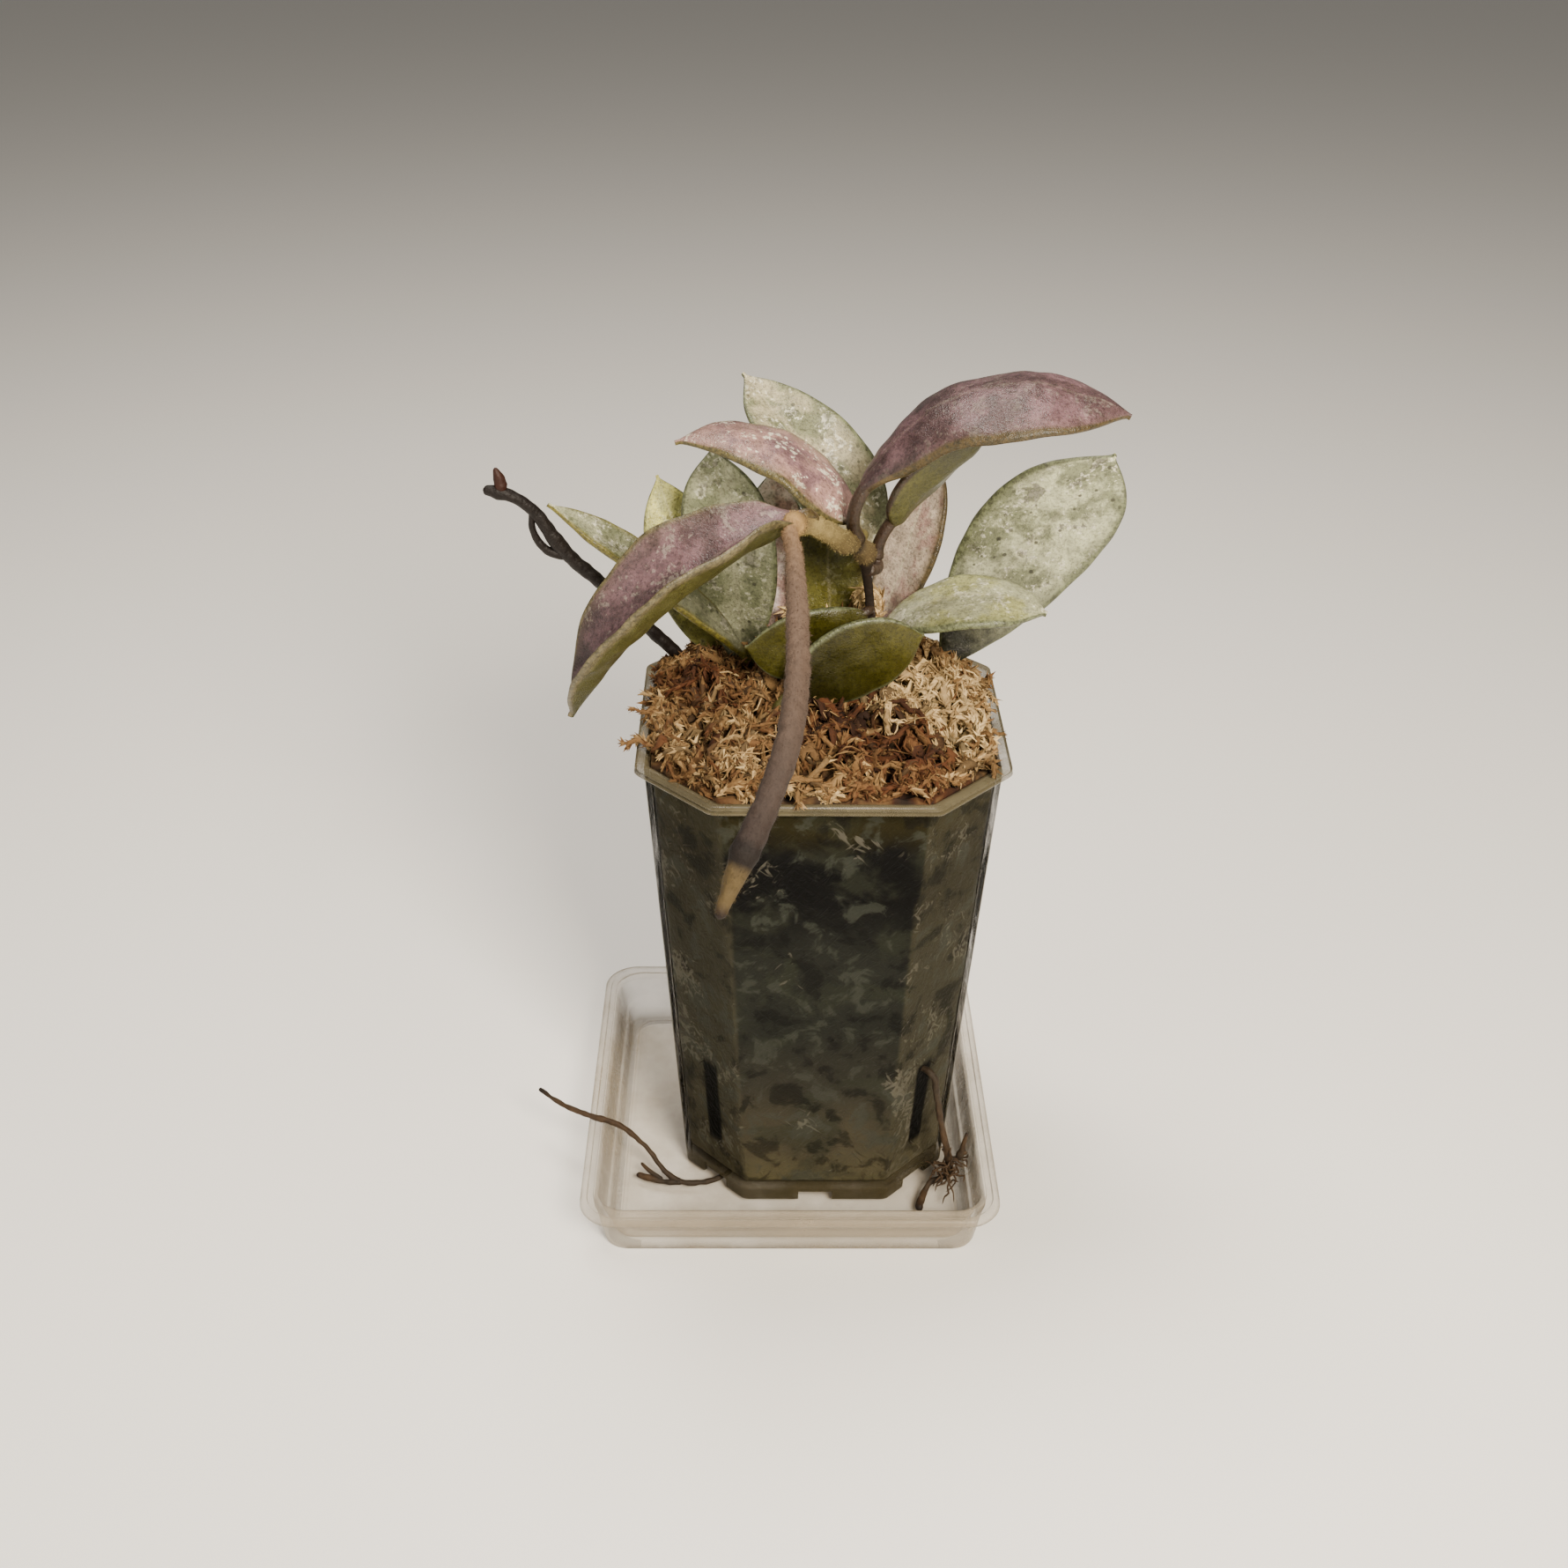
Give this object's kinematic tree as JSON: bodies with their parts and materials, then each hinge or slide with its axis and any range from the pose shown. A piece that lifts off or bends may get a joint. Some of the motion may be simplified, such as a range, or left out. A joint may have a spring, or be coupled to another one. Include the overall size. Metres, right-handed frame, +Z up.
{
  "type": "potted hoya plant",
  "caption": "Trailing hoya with thick mauve and silvery leaves, growing in moss in a clear square nursery pot that stands in a clear square saucer.",
  "frame": {"origin": "middle of the saucer's flat underside", "axes": "+Z up, +X to the right of the plant as seen from its front, +Y to the back; the long bare shoot trails to -Y"},
  "size_m": [0.1216, 0.136, 0.1697],
  "materials": {
    "mauve_leaf": "satin, mauve with pale flecks",
    "silver_leaf": "satin, silvery green with dark spots",
    "yellow_leaf": "satin, yellowish green",
    "brown_leaf": "satin, brownish mauve with a pale midrib",
    "olive_leaf": "satin, dark olive green",
    "lilac_leaf": "satin, bluish lilac",
    "clear_plastic": "clear, slightly milky",
    "dried_moss": "dry and fibrous, straw to orange brown",
    "hairy_stem": "matte, short haired, mauve brown",
    "dark_stem": "satin, almost black",
    "root_skin": "matte, brown"
  },
  "bodies": {
    "root": {"leaf_top_right": "mauve_leaf", "leaf_top_left": "mauve_leaf", "leaf_front_left": "mauve_leaf", "leaf_back_left": "silver_leaf", "leaf_upright_left": "silver_leaf", "leaf_yellow_left": "yellow_leaf", "leaf_narrow_left": "silver_leaf", "leaf_big_right": "silver_leaf", "leaf_mauve_back": "brown_leaf", "leaf_under_right": "yellow_leaf", "leaf_low_right": "silver_leaf", "leaf_front_low": "olive_leaf", "leaf_behind_low": "olive_leaf", "leaf_shaded_back": "olive_leaf", "leaf_lilac_back": "lilac_leaf", "saucer": "clear_plastic", "pot": "clear_plastic", "moss": "dried_moss", "vine": "hairy_stem", "bare_shoot": "dark_stem", "root_left": "root_skin", "root_right": "root_skin"}
  },
  "joints": []
}
